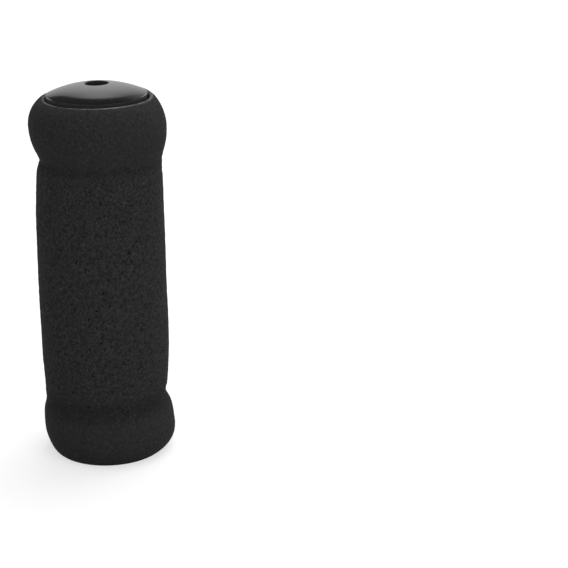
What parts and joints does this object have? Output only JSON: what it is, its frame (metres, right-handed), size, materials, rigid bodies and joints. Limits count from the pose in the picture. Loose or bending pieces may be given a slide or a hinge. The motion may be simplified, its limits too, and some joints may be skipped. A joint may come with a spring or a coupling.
{
  "type": "foam handlebar grip",
  "caption": "Soft foam tube that slides over a handlebar, with a rounded bulge at each end and a domed plastic cap with a centre hole in the outer end.",
  "frame": {"origin": "centre of the open end's face, where the handlebar goes in", "axes": "+Z along the bore's axis, from the open end to the capped end; the part is turned about it, so +X and +Y are free"},
  "size_m": [0.038, 0.038, 0.1075],
  "materials": {
    "foam": "matt black closed-cell foam with a fine ground grain",
    "cap_plastic": "black moulded plastic with a soft sheen"
  },
  "bodies": {
    "root": {"foam_sleeve": "foam", "end_cap": "cap_plastic"}
  },
  "joints": []
}
